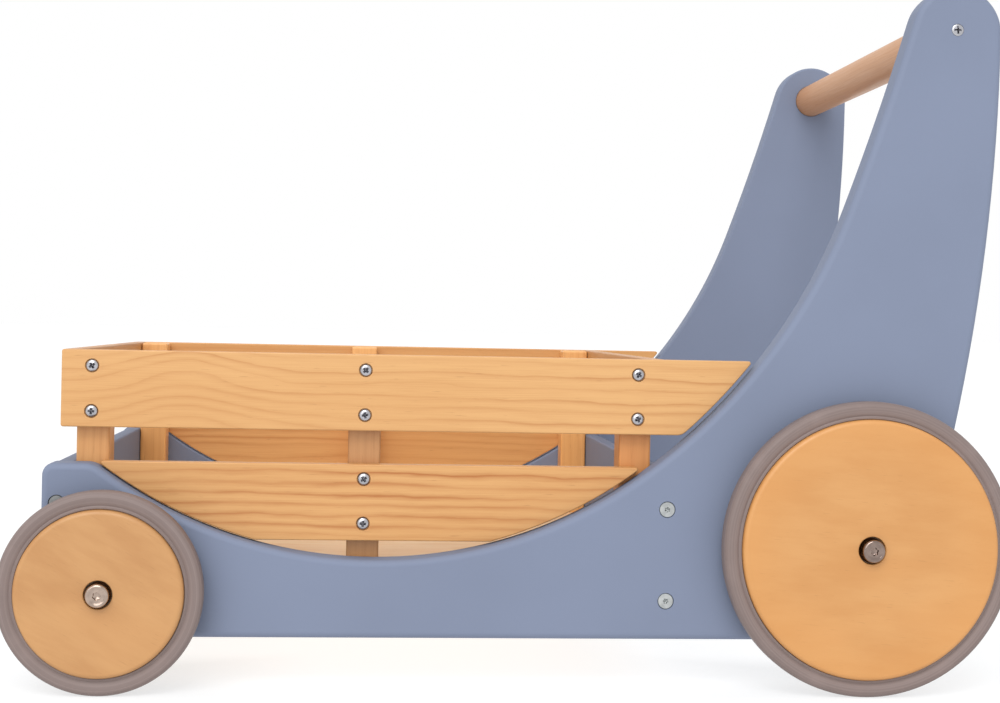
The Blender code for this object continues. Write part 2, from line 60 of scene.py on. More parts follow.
# Sizes shared with the solids
WHEEL_NAMES = ("front_left", "front_right", "rear_left", "rear_right")
SIDES = {"left": -1, "right": 1}
FACES = {"left": math.pi, "right": 0.0, "front": QUARTER, "rear": -QUARTER}     # turns about Z from +Y
INNER_Y = 0.150
OUTER_Y = 0.168
AXLE_RADIUS = 0.004
AXLES = {"front": (-0.24655, 0.0605), "rear": (0.21665, 0.0904)}      # (x, z), as all points of outlines
HANDLE = (0.27295, 0.4136)
HANDLE_RADIUS = 0.0125
HANDLE_SOCKET = 0.008
HANDLE_EDGE = 0.001

# Side panels
PANEL_ROUND = 0.0042          # outer edges
PANEL_INNER_ROUND = 0.0018
PANEL_BOTTOM = 0.0306
NOSE_X = -0.28535
NOSE_TOP = 0.1352
NOSE_CORNER = 0.0075
NOSE_FILLET = 0.016
TOE_RADIUS = 0.020
HEEL_RADIUS = 0.045
BOAT = (-0.08555, 0.0782)     # lowest point of the dip; its arcs behind end at these slopes
BOAT_SLOPE = math.radians(36.0)
RISE_SLOPE = math.radians(69.7)
FLANK_SLOPE = math.radians(73.7)
RISE_OVER_BOAT = 1.285        # radius over radius
BACK_RADIUS = 1.255
LOBE = (HANDLE[0] + 0.0007, HANDLE[1] - 0.0010)       # a little behind and below the bar
LOBE_RADIUS = 0.0285

# Crate
POST_XS = (-0.25805, -0.09255, 0.07695)
POST_Y = 0.1397
RIM_Z = 0.2034
SLAT_THICK = 0.008
SLAT_HEIGHT = 0.047
SLAT_SPACE = 0.0205
SLAT_EDGE = 0.0009
SLAT_CORNER = 0.0014
SLAT_TIP = 0.0013             # round on a slat's pointed ends
SLAT_HEEL = 0.008
SLAT_NOSE_GAP = 0.0010        # between a slat and the panel's dip, in front
UPPER_REAR_GAP = 0.0030       # the same behind
LOWER_REAR_GAP = {"left": 0.0002, "right": 0.0012}
LOWER_REAR_AHEAD = {"left": 0.0043, "right": 0.0}     # the scribed end is that much further forward
SLAT_FRONT = -0.27635
UPPER_SCREWS = (0.1937, 0.1661)
LOWER_SCREWS = (0.1268, 0.0995)
END_SCREWS = (0.1872, 0.1727)
POST_EDGE = 0.0015

# Cross boards
BOARD_ROUND = 0.0075          # outer top edge
BOARD_EDGE = 0.0014
GROOVE_DEPTH = 0.004
TONGUE_THICK = 0.003          # the floor's ends in the grooves

# Fasteners
SCREW_HEAD = 0.0037           # radius, as are tips, shanks, holes and sinks
SCREW_TIP = 0.0004
SLAT_SCREW_SHANK = 0.0017
SLAT_SCREW_HOLE = 0.0019
SLAT_SCREW_SINK = 0.0043
SLAT_SCREW_SINK_DEPTH = 0.0014
HANDLE_SCREW_SHANK = 0.0019
HANDLE_SCREW_HOLE = 0.0023
HANDLE_SCREW_SINK = 0.0039
BOLT_XS = {"front": -0.27585, "rear": 0.09475}
BOLT_ZS = {"upper": 0.11115, "lower": 0.05465}
BOLT_HEAD = 0.00495
BOLT_SHANK = 0.0024
BOLT_HOLE = 0.0028
BOLT_SINK = 0.0051
BOLT_SINK_DEPTH = 0.0019
PAST_PANEL = -0.030           # where a cutter starts that goes right through a panel
PAST_SLAT = -0.012            # the same for a slat
PAST_BOLT = -0.049            # and for the bolt holes in the cross boards
PROUD = 0.004                 # how far a cutter stands out of the face it cuts

# Wheels
DISC_EDGE = 0.0030
DISC_BORE = AXLE_RADIUS + 0.0004
DISC_GAP = 0.00005            # between disc and tyre
HUB_RECESS_RADIUS = 0.0084
HUB_RECESS_DEPTH = 0.0038
HUB_RECESS_LIP = 0.0004
TYRE_DEPTH = 0.0108           # from tread to disc
TYRE_SLIM = 0.0009            # on each side, less than the solid
TYRE_SHOULDER = 0.0038
TYRE_FACE = (                 # from the disc outwards, and in from the tyre's widest plane
    (0.0, 0.0016), (0.0003, 0.0011), (0.0007, 0.0010), (0.0013, 0.0010), (0.0017, 0.0013),
    (0.0021, 0.0015), (0.0026, 0.0013), (0.0034, 0.0009), (0.0044, 0.0005), (0.0056, 0.0002))
CAP_RADIUS = 0.0070
CAP_FLANGE = 0.0005           # how far its foot stands out
CAP_CROWN = 0.0016            # round on its rim
CROWN_STEPS = 5

# Stage
FLOOR_HALF = 30.0
FLOOR_GLOW = 0.680            # the floor's own light
FLOOR_LIFT = 0.155            # and more of it between the wheels
WHEELS_MIDDLE_X = -0.02
CAMERA_PLACE = (-0.0970, -1.1156, 0.2248)
CAMERA_TURNS = (-0.0006, -0.0201, -0.0781)            # about X, Y and Z, from a view along +Y
CAMERA_LENS = 1.55431         # focal length over sensor width
CAMERA_SHIFT = (0.0187, -0.0311)


class Finish:
    """A procedural material, built node by node on the piece's own coordinates."""

    def __init__(self, name, roughness, metallic=0.0):
        self.material = bpy.data.materials.new(name)
        self.material.use_nodes = True
        self.tree = self.material.node_tree
        self.surface = self.tree.nodes["Principled BSDF"]
        self.surface.inputs["Roughness"].default_value = roughness
        self.surface.inputs["Metallic"].default_value = metallic
        self.place = self.add("ShaderNodeTexCoord").outputs["Object"]

    def add(self, kind, **settings):
        node = self.tree.nodes.new(kind)
        for key, value in settings.items():
            setattr(node, key, value)
        return node

    def put(self, socket, value):
        if isinstance(value, bpy.types.NodeSocket):
            self.tree.links.new(value, socket)
        else:
            socket.default_value = value

    def calc(self, operation, *values):
        node = self.add("ShaderNodeMath", operation=operation)
        for socket, value in zip(node.inputs, values):
            self.put(socket, value)
        return node.outputs[0]

    def split(self, vector):
        node = self.add("ShaderNodeSeparateXYZ")
        self.put(node.inputs[0], vector)
        return node.outputs

    def join(self, x, y, z):
        node = self.add("ShaderNodeCombineXYZ")
        for socket, value in zip(node.inputs, (x, y, z)):
            self.put(socket, value)
        return node.outputs[0]

    def stretch(self, vector, scale, shift=(0.0, 0.0, 0.0), turn=(0.0, 0.0, 0.0)):
        node = self.add("ShaderNodeMapping")
        self.put(node.inputs["Vector"], vector)
        node.inputs["Scale"].default_value = scale
        node.inputs["Location"].default_value = shift
        node.inputs["Rotation"].default_value = turn
        return node.outputs[0]

    def noise(self, vector, detail, roughness=0.5):
        node = self.add("ShaderNodeTexNoise")
        self.put(node.inputs["Vector"], vector)
        node.inputs["Scale"].default_value = 1.0
        node.inputs["Detail"].default_value = detail
        node.inputs["Roughness"].default_value = roughness
        return node.outputs[0]

    def even_noise(self, scale, detail):
        """Noise of one size in all directions."""
        return self.noise(self.stretch(self.place, (scale, scale, scale)), detail)

    def from_axis(self, x, z):
        """Distance from the Y axis."""
        return self.calc("SQRT", self.calc("ADD", self.calc("MULTIPLY", x, x), self.calc("MULTIPLY", z, z)))

    def span(self, value, low, high, to_low=0.0, to_high=1.0):
        """A value's smooth way from low to high, as one from to_low to to_high."""
        node = self.add("ShaderNodeMapRange", interpolation_type="SMOOTHSTEP")
        for socket, number in zip(node.inputs, (value, low, high, to_low, to_high)):
            self.put(socket, number)
        return node.outputs[0]

    def ramp(self, value, stops):
        node = self.add("ShaderNodeValToRGB")
        self.put(node.inputs[0], value)
        while len(node.color_ramp.elements) < len(stops):
            node.color_ramp.elements.new(1.0)
        for element, (position, grey) in zip(node.color_ramp.elements, stops):
            element.position = position
            element.color = (grey, grey, grey, 1.0)
        return node.outputs[0]

    def blend(self, factor, first, second):
        """A mix of two colours. A mix node's colour sockets are 6 and 7, and 2 of its outputs."""
        node = self.add("ShaderNodeMix", data_type="RGBA")
        self.put(node.inputs[0], factor)
        for socket, value in ((node.inputs[6], first), (node.inputs[7], second)):
            self.put(socket, (*value, 1.0) if isinstance(value, tuple) else value)
        return node.outputs[2]

    def bump(self, height, distance, strength):
        node = self.add("ShaderNodeBump")
        node.inputs["Strength"].default_value = strength
        node.inputs["Distance"].default_value = distance
        self.put(node.inputs["Height"], height)
        return node.outputs[0]

    def done(self, colour, roughness=None, normal=None):
        self.put(self.surface.inputs["Base Color"], colour)
        if roughness is not None:
            self.put(self.surface.inputs["Roughness"], roughness)
        if normal is not None:
            self.put(self.surface.inputs["Normal"], normal)
        return self.material


def linear(red, green, blue):
    """A colour of 0 to 255 on a screen, as the linear numbers that shaders take."""
    parts = [channel / 255.0 for channel in (red, green, blue)]
    return tuple(c / 12.92 if c <= 0.04045 else ((c + 0.055) / 1.055) ** 2.4 for c in parts)


def toned(colour, *factors):
    """A colour made lighter or darker, by one factor or by one for each channel."""
    each = factors if len(factors) > 1 else factors * len(colour)
    return tuple(min(1.0, c * f) for c, f in zip(colour, each))


def painted(name, colour):
    """Satin paint with faint clouds, specks and orange peel."""
    finish = Finish(name, 0.6)
    finish.surface.inputs["Specular IOR Level"].default_value = 0.2
    cloud = finish.even_noise(9.0, 3.0)
    speck = finish.even_noise(900.0, 2.0)
    peel = finish.even_noise(420.0, 2.0)
    tone = finish.blend(finish.span(cloud, 0.30, 0.70), toned(colour, 0.97), toned(colour, 1.03))
    tone = finish.blend(finish.span(speck, 0.66, 0.76, 0.0, 0.12), tone, toned(colour, 1.25))
    gloss = finish.span(cloud, 0.25, 0.75, 0.56, 0.66)
    return finish.done(tone, gloss, finish.bump(peel, 0.00005, 0.5))


def wood(name, along, light, dark, spacing, contrast, waves=0.03, uneven=1.6, hump=None):
    """Lacquered wood with growth rings, fibre streaks and resin flecks. The grain runs along one axis.

    A hump (middle, half width, height) lifts the rings in an arch.
    """
    finish = Finish(name, 0.45)
    x, y, z = finish.split(finish.place)
    u, v, w = {"x": (x, z, y), "y": (y, z, x), "z": (z, x, y)}[along]
    grain = finish.join(u, v, w)
    slow = finish.noise(finish.stretch(grain, (4.0, 14.0, 14.0)), 2.0)
    wander = finish.noise(finish.stretch(grain, (22.0, 70.0, 70.0), (0.0, 3.0, 0.0)), 2.0)
    rough = finish.noise(finish.stretch(grain, (60.0, 420.0, 420.0), (0.0, 6.0, 0.0)), 2.0)
    vary = finish.noise(finish.stretch(grain, (1.0, 55.0, 55.0), (0.0, 7.0, 0.0)), 1.0)
    ring = finish.calc("MULTIPLY_ADD", w, 0.45, v)
    for wave, height in ((slow, waves), (wander, 0.0040), (rough, 0.0016)):
        ring = finish.calc("MULTIPLY_ADD", wave, height, ring)
    if hump:
        middle, half_width, height = hump
        away = finish.calc("DIVIDE", finish.calc("SUBTRACT", u, middle), half_width)
        bell = finish.calc("EXPONENT", finish.calc("MULTIPLY", finish.calc("MULTIPLY", away, away), -1.0))
        ring = finish.calc("MULTIPLY_ADD", bell, -height, ring)
    count = finish.calc("MULTIPLY_ADD", vary, uneven, finish.calc("DIVIDE", ring, spacing))
    pick = finish.add("ShaderNodeTexWhiteNoise", noise_dimensions="1D")
    finish.put(pick.inputs["W"], finish.calc("FLOOR", count))
    line = finish.ramp(finish.calc("FRACT", count),
                       ((0.0, 0.9), (0.14, 0.40), (0.32, 0.08), (0.52, 0.05), (0.78, 0.45), (0.95, 1.0), (1.0, 0.9)))
    streak = finish.noise(finish.stretch(grain, (7.0, 120.0, 120.0), (0.0, 1.0, 0.0)), 3.0)
    fibre = finish.noise(finish.stretch(grain, (26.0, 1500.0, 1500.0), (0.0, 0.0, 2.0)), 3.0, 0.6)
    fleck = finish.noise(finish.stretch(grain, (70.0, 1000.0, 1000.0), (0.0, 4.0, 0.0)), 2.0)
    cloud = finish.noise(finish.stretch(grain, (5.0, 16.0, 16.0), (0.0, 9.0, 0.0)), 2.0)
    strength = finish.span(streak, 0.30, 0.66, contrast * 0.35, contrast)
    strength = finish.calc("MULTIPLY", strength, finish.span(pick.outputs["Value"], 0.0, 1.0, 0.30, 1.0))
    tone = finish.blend(finish.calc("MULTIPLY", line, strength), light, dark)
    tone = finish.blend(finish.span(cloud, 0.35, 0.72, 0.0, 0.55), tone, toned(light, 0.90, 0.83, 0.74))
    tone = finish.blend(finish.span(fibre, 0.40, 0.75, 0.0, 0.20), tone, dark)
    tone = finish.blend(finish.span(fleck, 0.66, 0.78, 0.0, 0.35), tone, toned(dark, 0.55))
    height = finish.calc("MULTIPLY_ADD", line, -0.4, finish.calc("MULTIPLY", fibre, -0.6))
    gloss = finish.span(fibre, 0.3, 0.7, 0.36, 0.48)
    return finish.done(tone, gloss, finish.bump(height, 0.00012, 0.45))


def plywood(name, along, light, dark, turn=0.0, shift=0.0, layers=0.0, painted_shade_radius=0.0, warm=0.0):
    """Lacquered plywood: a quiet figured face, pores, thin layers on the edge, and a recess in the middle painted
    dark as its shade.

    Layers is their thickness, bore the recess's radius, and warm how orange the face gets towards its rim.
    """
    finish = Finish(name, 0.42)
    place = finish.stretch(finish.place, (1.0, 1.0, 1.0), turn=(0.0, turn, 0.0))
    x, y, z = finish.split(place)
    u, v, w = {"x": (x, z, y), "flat": (x, y, z)}[along]
    grain = finish.join(u, v, w)
    figure = finish.noise(finish.stretch(grain, (14.0, 48.0, 8.0), (shift, 0.0, 0.0)), 4.0, 0.6)
    fine = finish.noise(finish.stretch(grain, (30.0, 260.0, 20.0), (shift, 2.0, 0.0)), 3.0)
    pore = finish.noise(finish.stretch(grain, (110.0, 1500.0, 90.0), (shift, 5.0, 0.0)), 2.0)
    cloud = finish.noise(finish.stretch(grain, (11.0, 15.0, 5.0), (shift, 8.0, 0.0)), 2.0)
    tone = finish.blend(finish.span(figure, 0.36, 0.66, 0.0, 0.8), light, dark)
    tone = finish.blend(finish.span(fine, 0.45, 0.75, 0.0, 0.28), tone, dark)
    tone = finish.blend(finish.span(cloud, 0.48, 0.75, 0.0, 0.5), tone, toned(light, 1.12))
    tone = finish.blend(finish.span(pore, 0.66, 0.76, 0.0, 0.30), tone, toned(dark, 0.6))
    if layers:
        normal = finish.add("ShaderNodeNewGeometry").outputs["Normal"]
        across = 1 if along == "x" else 2
        edge = finish.span(finish.calc("ABSOLUTE", finish.split(normal)[across]), 0.55, 0.25)
        sheet = finish.calc("FRACT", finish.calc("DIVIDE", w, layers * 2.0))
        sheet = finish.span(finish.calc("ABSOLUTE", finish.calc("SUBTRACT", sheet, 0.5)), 0.20, 0.30)
        brown = toned(dark, 0.72, 0.62, 0.52)
        tone = finish.blend(finish.calc("MULTIPLY", finish.calc("MULTIPLY", edge, sheet), 0.7), tone, brown)
    if painted_shade_radius:
        radius = finish.from_axis(x, z)
        tone = finish.blend(finish.span(radius, 0.04, 0.08, 0.0, warm), tone, toned(light, 1.04, 0.93, 0.74))
        # painted shade: the face inside the hub recess is darkened where its shadow falls
        tone = finish.blend(finish.span(radius, painted_shade_radius, painted_shade_radius - 0.0004, 0.0, 0.9), tone, toned(dark, 0.12))
    gloss = finish.span(fine, 0.3, 0.7, 0.36, 0.48)
    return finish.done(tone, gloss, finish.bump(pore, 0.00006, 0.35))


def rubber(name, light, dark):
    """Matt rubber with faint turned lines round the wheel and a little dust."""
    finish = Finish(name, 0.62)
    x, y, z = finish.split(finish.place)
    section = finish.join(finish.from_axis(x, z), y, 0.0)
    rings = finish.noise(finish.stretch(section, (900.0, 260.0, 1.0)), 2.0)
    cloud = finish.even_noise(45.0, 3.0)
    grain = finish.even_noise(1600.0, 2.0)
    tone = finish.blend(finish.span(rings, 0.30, 0.70), dark, light)
    tone = finish.blend(finish.span(cloud, 0.48, 0.78, 0.0, 0.45), tone, toned(light, 1.18))
    height = finish.calc("MULTIPLY_ADD", rings, 0.7, finish.calc("MULTIPLY", grain, 0.3))
    gloss = finish.span(cloud, 0.3, 0.7, 0.55, 0.68)
    return finish.done(tone, gloss, finish.bump(height, 0.0001, 0.35))


def metal(name, colour, low, high):
    """Plated metal with fine scratches and a cloudy polish, its roughness between low and high."""
    finish = Finish(name, low, 1.0)
    cloud = finish.even_noise(260.0, 3.0)
    lines = finish.noise(finish.stretch(finish.place, (300.0, 300.0, 4200.0)), 2.0)
    tone = finish.blend(finish.span(cloud, 0.30, 0.70), toned(colour, 0.80), colour)
    gloss = finish.span(cloud, 0.30, 0.75, low, high)
    return finish.done(tone, gloss, finish.bump(lines, 0.00002, 0.35))


def plastic(name, colour):
    """Moulded nylon with a fine texture."""
    finish = Finish(name, 0.5)
    cloud = finish.even_noise(70.0, 3.0)
    grain = finish.even_noise(1400.0, 2.0)
    tone = finish.blend(finish.span(cloud, 0.3, 0.7), toned(colour, 0.93), colour)
    return finish.done(tone, finish.span(cloud, 0.3, 0.7, 0.45, 0.55), finish.bump(grain, 0.00004, 0.4))


def floor_finish():
    """Plain pale floor, lit a little more between the wheels."""
    finish = Finish("pale_floor", 0.75)
    x, y, _ = finish.split(finish.place)
    along = finish.calc("ABSOLUTE", finish.calc("SUBTRACT", x, WHEELS_MIDDLE_X))
    across = finish.calc("ABSOLUTE", y)

    def fade(value, start, end):
        return finish.span(value, start, end, 1.0, 0.0)

    inside = finish.calc("MULTIPLY", fade(along, 0.25, 0.34), fade(across, 0.06, 0.13))
    between = finish.calc("MULTIPLY", fade(along, 0.09, 0.24), fade(across, 0.13, 0.19))
    lift = finish.calc("MULTIPLY", finish.calc("MAXIMUM", inside, between), FLOOR_LIFT)
    finish.put(finish.surface.inputs["Emission Strength"], finish.calc("ADD", lift, FLOOR_GLOW))
    finish.surface.inputs["Emission Color"].default_value = (0.985, 0.994, 1.0, 1.0)
    finish.surface.inputs["Specular IOR Level"].default_value = 0.1
    cloud = finish.even_noise(1.5, 2.0)
    return finish.done(finish.blend(finish.span(cloud, 0.3, 0.7), (0.305, 0.305, 0.305), (0.315, 0.315, 0.315)))


def make_finishes():
    """Every material, by the name that the pieces use."""
    pine_light, pine_dark = linear(205, 158, 103), linear(171, 114, 60)
    stripe_light, stripe_dark = linear(201, 152, 96), linear(162, 98, 43)
    # deep_light and deep_dark, for the far slats, are a deeper orange than the near slats' colours: painted light,
    # the warm light bounced about inside the crate
    deep_light, deep_dark = linear(209, 157, 99), linear(175, 112, 57)
    front_light, front_dark, slant = linear(184, 137, 87), linear(172, 123, 74), math.radians(-28.0)
    rear_light, rear_dark, level = linear(195, 143, 87), linear(187, 132, 75), math.radians(-4.0)
    # the second number is the radius of the painted shade in the hub recess
    ply, painted_shade_radius = 0.0012, HUB_RECESS_RADIUS + 0.0001
    return {
        "blue_paint": painted("blue_paint", linear(117, 126, 147)),
        "pine": wood("pine", "x", deep_light, deep_dark, 0.0068, 0.9, 0.02),
        "pine_arched": wood("pine_arched", "x", pine_light, pine_dark, 0.0070, 0.8, 0.022,
                            hump=(-0.205, 0.036, 0.013)),
        "pine_striped": wood("pine_striped", "x", stripe_light, stripe_dark, 0.0064, 1.2, 0.012, 0.8),
        "pine_across": wood("pine_across", "y", linear(194, 142, 87), linear(163, 101, 50), 0.0068, 0.8),
        # near posts darkened, the middle one most, as painted shade under the slats; the far posts lightened as
        # painted light inside the crate
        "front_post": wood("front_post", "z", linear(203, 149, 93), linear(172, 113, 61), 0.0066, 0.7),
        "middle_post": wood("middle_post", "z", linear(181, 132, 85), linear(152, 100, 56), 0.0066, 0.7),
        "rear_post": wood("rear_post", "z", linear(197, 134, 76), linear(167, 102, 50), 0.0066, 0.6),
        "far_posts_painted_light": wood("far_posts_painted_light", "z", linear(230, 174, 110), linear(193, 124, 64), 0.0066, 0.6),
        "beech": wood("beech", "y", linear(187, 139, 99), linear(163, 110, 69), 0.0036, 0.3),
        "floor_ply": plywood("floor_ply", "flat", linear(235, 203, 164), linear(225, 183, 137), layers=0.001),
        "front_disc": plywood("front_disc", "x", front_light, front_dark, slant, 0.0, ply, painted_shade_radius, 0.2),
        "rear_disc": plywood("rear_disc", "x", rear_light, rear_dark, level, 3.0, ply, painted_shade_radius, 0.4),
        "rubber": rubber("rubber", linear(127, 112, 108), linear(116, 101, 97)),
        # the caps are one part: the front one's lighter and the rear one's darker nickel are painted reflections
        "front_nickel": metal("front_nickel", (0.46, 0.36, 0.30), 0.14, 0.24),
        "rear_nickel": metal("rear_nickel", (0.29, 0.22, 0.19), 0.10, 0.18),
        # front_zinc is darker than rear_zinc: painted shade, as the front bolts lie in the front wheels' shadow
        "front_zinc": metal("front_zinc", (0.25, 0.26, 0.26), 0.34, 0.50),
        "rear_zinc": metal("rear_zinc", (0.50, 0.52, 0.52), 0.34, 0.50),
        "steel": metal("steel", (0.50, 0.50, 0.53), 0.20, 0.34),
        "nylon": plastic("nylon", (0.72, 0.72, 0.70)),
    }


def arc(centre, radius, start, end):
    """Points along an arc from one angle to another, with flats no deeper than SAG."""
    step = 2.0 * math.acos(1.0 - SAG / radius)
    count = max(1, math.ceil(abs(end - start) / step))
    angles = [start + (end - start) * i / count for i in range(count + 1)]
    return [(centre[0] + radius * math.cos(a), centre[1] + radius * math.sin(a)) for a in angles]


def angle_to(start, end):
    """Direction from one (x, z) point to another."""
    return math.atan2(end[1] - start[1], end[0] - start[0])


def without_repeats(points):
    """The points of a closed outline, without those that repeat the one before."""
    return [p for i, p in enumerate(points) if math.dist(p, points[i - 1]) > 1e-6]


def rounded_corner(before, corner, after, radius):
    """An arc in place of a corner between two straight edges."""
    one = (Vector(before) - Vector(corner)).normalized()
    two = (Vector(after) - Vector(corner)).normalized()
    half = one.angle(two) / 2.0
    centre = Vector(corner) + (one + two).normalized() * radius / math.sin(half)
    reach = radius / math.tan(half)
    start = angle_to(centre, Vector(corner) + one * reach)
    sweep = math.remainder(angle_to(centre, Vector(corner) + two * reach) - start, 2.0 * math.pi)
    return arc(centre, radius, start, start + sweep)


def dip_arcs():
    """The dip's arcs behind its lowest point, as (centre, radius, start slope, end slope)."""
    slopes = (0.0, BOAT_SLOPE, RISE_SLOPE, FLANK_SLOPE)
    turns = [Vector((math.sin(b) - math.sin(a), math.cos(a) - math.cos(b))) for a, b in zip(slopes, slopes[1:])]
    point = Vector(BOAT)
    way = Vector(LOBE) + LOBE_RADIUS * Vector((-math.sin(FLANK_SLOPE), math.cos(FLANK_SLOPE))) - point
    first_two = turns[0] + RISE_OVER_BOAT * turns[1]
    boat_radius = way.cross(turns[2]) / first_two.cross(turns[2])
    flank_radius = first_two.cross(way) / first_two.cross(turns[2])
    radii = (boat_radius, RISE_OVER_BOAT * boat_radius, flank_radius)
    arcs = []
    for radius, covered, start, end in zip(radii, turns, slopes, slopes[1:]):
        arcs.append(((point[0] - radius * math.sin(start), point[1] + radius * math.cos(start)), radius, start, end))
        point = point + radius * covered
    return arcs


def scribed(low, high, gap):
    """Points on the rising side of the dip, set in by a gap, between two heights."""
    points = []
    for centre, radius, start, end in dip_arcs():
        inner = radius - gap
        first = max(start, math.acos(min(1.0, (centre[1] - low) / inner)))
        last = min(end, math.acos(min(1.0, (centre[1] - high) / inner)))
        if last > first:
            points += arc(centre, inner, first - QUARTER, last - QUARTER)
    return points


def panel_outline():
    """Nose, dip, handle lobe, back, heel and toe, as arcs that run into each other."""
    dip = dip_arcs()
    boat, boat_radius = dip[0][:2]
    back = (LOBE[0] + LOBE_RADIUS - BACK_RADIUS, LOBE[1])
    corner = (NOSE_X + NOSE_CORNER, NOSE_TOP - NOSE_CORNER)
    fillet_z = NOSE_TOP - NOSE_FILLET
    fillet = (boat[0] - math.sqrt((boat_radius + NOSE_FILLET) ** 2 - (boat[1] - fillet_z) ** 2), fillet_z)
    heel_z = PANEL_BOTTOM + HEEL_RADIUS
    heel = (back[0] + math.sqrt((BACK_RADIUS - HEEL_RADIUS) ** 2 - (back[1] - heel_z) ** 2), heel_z)
    toe = (NOSE_X + TOE_RADIUS, PANEL_BOTTOM + TOE_RADIUS)
    points = arc(corner, NOSE_CORNER, math.pi, QUARTER)
    points += arc(fillet, NOSE_FILLET, QUARTER, angle_to(fillet, boat))
    points += arc(boat, boat_radius, angle_to(boat, fillet), -QUARTER)
    for centre, radius, start, end in dip:
        points += arc(centre, radius, start - QUARTER, end - QUARTER)
    points += arc(LOBE, LOBE_RADIUS, FLANK_SLOPE + QUARTER, 0.0)
    points += arc(back, BACK_RADIUS, 0.0, angle_to(back, heel))
    points += arc(heel, HEEL_RADIUS, angle_to(back, heel), -QUARTER)
    points += arc(toe, TOE_RADIUS, -QUARTER, -math.pi)
    return without_repeats(points)


def clear_of(points, corner):
    """The points that a rounded tip at a corner leaves in place."""
    return [p for p in points if math.dist(p, corner) > 4.0 * SLAT_TIP]


def upper_slat_outline():
    """Square at the nose, scribed to the panel's rise behind."""
    low = RIM_Z - SLAT_HEIGHT
    rear = scribed(low, RIM_Z, UPPER_REAR_GAP)
    front_low = (SLAT_FRONT, low)
    front_high = (SLAT_FRONT, RIM_Z)
    points = rounded_corner(front_high, front_low, rear[0], SLAT_CORNER)
    heel = rounded_corner(front_low, rear[0], rear[len(rear) // 4], SLAT_HEEL)
    points += heel
    points += [p for p in clear_of(rear, rear[-1]) if p[1] > heel[-1][1] + 0.0005]
    points += rounded_corner(rear[-2], rear[-1], front_high, SLAT_TIP)
    points += rounded_corner(rear[-1], front_high, front_low, SLAT_CORNER)
    return without_repeats(points)


def lower_slat_outline(side):
    """Scribed to the dip at both ends."""
    high = RIM_Z - SLAT_HEIGHT - SLAT_SPACE
    low = high - SLAT_HEIGHT
    boat, boat_radius = dip_arcs()[0][:2]
    inner = boat_radius - SLAT_NOSE_GAP
    steep = math.acos((boat[1] - high) / inner)
    shallow = math.acos(min(1.0, (boat[1] - low) / inner))
    front = arc(boat, inner, -QUARTER - steep, -QUARTER - shallow)
    rear = [(x - LOWER_REAR_AHEAD[side], z) for x, z in scribed(low, high, LOWER_REAR_GAP[side])]
    points = rounded_corner(rear[-1], front[0], front[1], SLAT_TIP)
    points += clear_of(front, front[0]) + clear_of(rear, rear[-1])
    points += rounded_corner(rear[-2], rear[-1], front[0], SLAT_TIP)
    return without_repeats(points)


def oblong(low, high):
    """The outline of a box between two corners."""
    return [(low.x, low.z), (high.x, low.z), (high.x, high.z), (low.x, high.z)]


def plate(outline, low_y, high_y):
    """A flat plate with an outline of (x, z) points, standing between two Y planes."""
    body = bmesh.new()
    face = body.faces.new([body.verts.new((x, low_y, z)) for x, z in outline])
    grown = bmesh.ops.extrude_face_region(body, geom=[face])
    moved = [part for part in grown["geom"] if isinstance(part, bmesh.types.BMVert)]
    bmesh.ops.translate(body, verts=moved, vec=(0.0, high_y - low_y, 0.0))
    return body


def lathe(profile, steps, ring=False, offset=(0.0, 0.0, 0.0), face=None):
    """Spin a profile of (radius, y) points about Y, turn it to face a direction, and move it."""
    body = bmesh.new()
    points = [body.verts.new((radius, y, 0.0)) for radius, y in profile]
    edges = [body.edges.new(pair) for pair in zip(points, points[1:])]
    if ring:
        edges.append(body.edges.new((points[-1], points[0])))
    bmesh.ops.spin(body, geom=points + edges, cent=(0.0, 0.0, 0.0), axis=(0.0, 1.0, 0.0),
                   angle=2.0 * math.pi, steps=steps, use_merge=True)
    bmesh.ops.remove_doubles(body, verts=body.verts, dist=1e-6)
    if face is not None:
        bmesh.ops.rotate(body, verts=body.verts, matrix=Matrix.Rotation(face, 3, "Z"))
    bmesh.ops.translate(body, verts=body.verts, vec=offset)
    return body


def lofted(rings):
    """Quads between rings of points, with a fan over the first and last ring."""
    body = bmesh.new()
    loops = [[body.verts.new(point) for point in ring] for ring in rings]
    for lower, upper in zip(loops, loops[1:]):
        for i in range(len(lower)):
            body.faces.new((lower[i - 1], lower[i], upper[i], upper[i - 1]))
    for loop in (loops[0], loops[-1]):
        middle = body.verts.new(sum((v.co for v in loop), Vector()) / len(loop))
        for i in range(len(loop)):
            body.faces.new((loop[i - 1], loop[i], middle))
    return body


def joined(bodies):
    """Several separate bodies in one bmesh."""
    result = bmesh.new()
    for body in bodies:
        mesh = bpy.data.meshes.new("part_of_a_cutter")
        bmesh.ops.recalc_face_normals(body, faces=body.faces)
        body.to_mesh(mesh)
        body.free()
        result.from_mesh(mesh)
        bpy.data.meshes.remove(mesh)
    return result


def to_object(name, body):
    """Turn a bmesh into a linked object."""
    mesh = bpy.data.meshes.new(name)
    bmesh.ops.recalc_face_normals(body, faces=body.faces)
    body.to_mesh(mesh)
    body.free()
    item = bpy.data.objects.new(name, mesh)
    bpy.context.scene.collection.objects.link(item)
    return item


